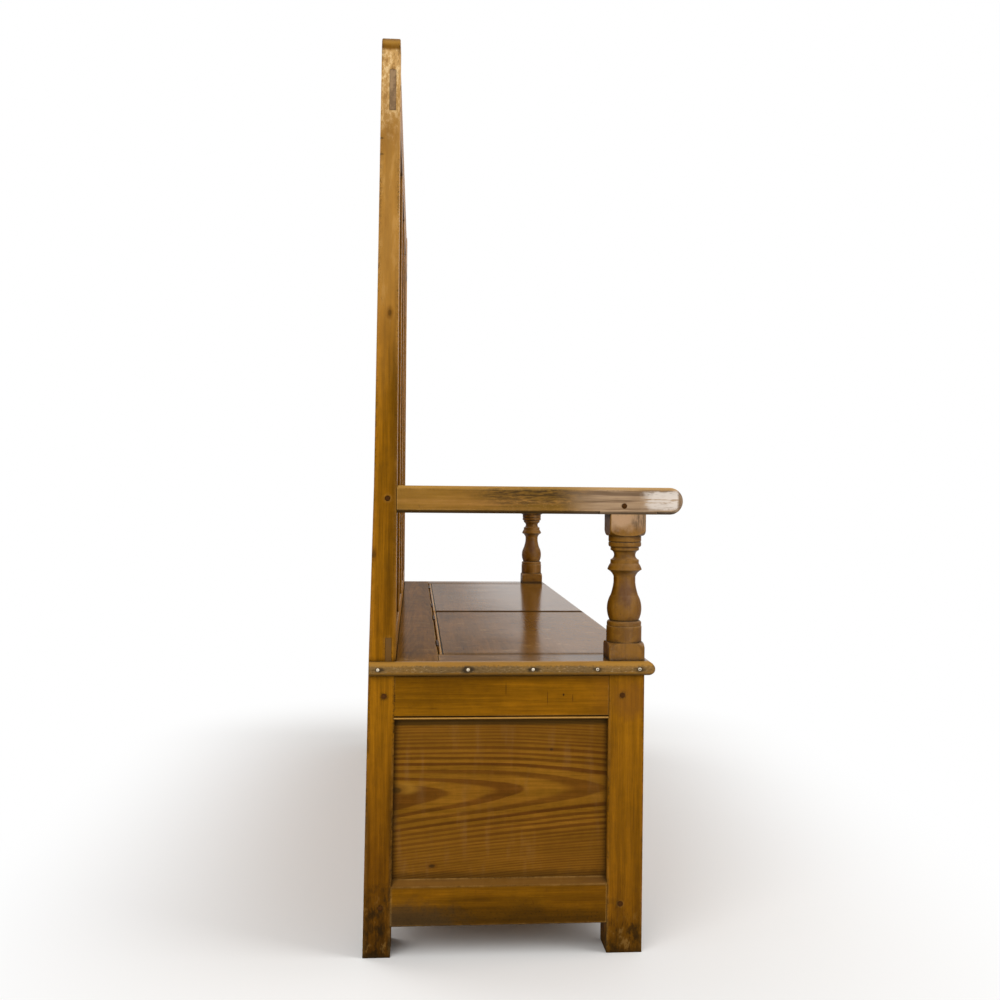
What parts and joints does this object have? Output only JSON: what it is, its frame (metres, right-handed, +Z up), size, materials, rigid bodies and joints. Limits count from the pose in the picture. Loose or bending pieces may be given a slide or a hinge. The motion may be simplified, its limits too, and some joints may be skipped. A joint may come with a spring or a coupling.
{
  "type": "settle bench",
  "caption": "Panelled pine box settle with a tall framed back, level arms on turned supports and a lift-up seat over a storage box.",
  "frame": {"origin": "on the floor, in the middle of the object's footprint", "axes": "+X along the seat to the sitter's left, -Y the way the sitter faces, +Z up"},
  "size_m": [1.483, 0.493, 1.413],
  "materials": {
    "frame_pine": "waxed old pine, golden brown, worn at the edges, dark at the feet",
    "arm_pine": "waxed old pine, rubbed pale and glossy at the front",
    "panel_pine": "waxed pine with strong cathedral grain",
    "seat_pine": "glossy worn wax over brown pine",
    "nosing_pine": "half-round strip, worn pale on top, grimy in the middle",
    "inner_pine": "unfinished aged pine",
    "peg_oak": "dark end grain",
    "nail_iron": "dark rubbed iron",
    "hinge_iron": "dark iron"
  },
  "bodies": {
    "frame": {"arm_left": "arm_pine", "arm_right": "arm_pine", "back_bottom_rail": "frame_pine", "back_muntin_1": "frame_pine", "back_muntin_2": "frame_pine", "back_muntin_3": "frame_pine", "back_panel_1": "panel_pine", "back_panel_2": "panel_pine", "back_panel_3": "panel_pine", "back_panel_4": "panel_pine", "back_seat_rail": "frame_pine", "box_floor_boards": "inner_pine", "crest_rail": "frame_pine", "end_bottom_rail_left": "frame_pine", "end_bottom_rail_right": "frame_pine", "end_nosing_left": "nosing_pine", "end_nosing_right": "nosing_pine", "end_panel_left": "panel_pine", "end_panel_right": "panel_pine", "end_top_rail_left": "frame_pine", "end_top_rail_right": "frame_pine", "floor_ledgers": "inner_pine", "front_bottom_rail": "frame_pine", "front_muntin_1": "frame_pine", "front_muntin_2": "frame_pine", "front_muntin_3": "frame_pine", "front_panel_1": "panel_pine", "front_panel_2": "panel_pine", "front_panel_3": "panel_pine", "front_panel_4": "panel_pine", "front_post_left": "frame_pine", "front_post_right": "frame_pine", "front_top_rail": "frame_pine", "hinge_pins": "hinge_iron", "joint_pegs": "peg_oak", "nosing_nails": "nail_iron", "rear_base_muntin": "frame_pine", "rear_base_panel_1": "panel_pine", "rear_base_panel_2": "panel_pine", "rear_post_left": "frame_pine", "rear_post_right": "frame_pine", "seat_cross_bearer": "inner_pine", "seat_end_bearer_left": "inner_pine", "seat_end_bearer_right": "inner_pine", "seat_end_board_left": "seat_pine", "seat_end_board_right": "seat_pine", "seat_hinge_leaves": "hinge_iron", "seat_hinge_screws": "hinge_iron", "seat_rear_ledger": "inner_pine", "seat_rear_plank": "seat_pine"},
    "lid_left": {"seat_lid_left": "seat_pine", "lid_battens_left": "inner_pine", "lid_hinge_leaves_left": "hinge_iron", "lid_hinge_screws_left": "hinge_iron"},
    "lid_right": {"seat_lid_right": "seat_pine", "lid_battens_right": "inner_pine", "lid_hinge_leaves_right": "hinge_iron", "lid_hinge_screws_right": "hinge_iron"}
  },
  "joints": [
    {"name": "lid_left_hinge", "type": "hinge", "parent": "frame", "child": "lid_left", "pos_m": [-0.3465, 0.13175, 0.455], "axis": [-1, 0, 0], "range_deg": [0, 100]},
    {"name": "lid_right_hinge", "type": "hinge", "parent": "frame", "child": "lid_right", "pos_m": [0.307, 0.13175, 0.455], "axis": [-1, 0, 0], "range_deg": [0, 100]}
  ]
}
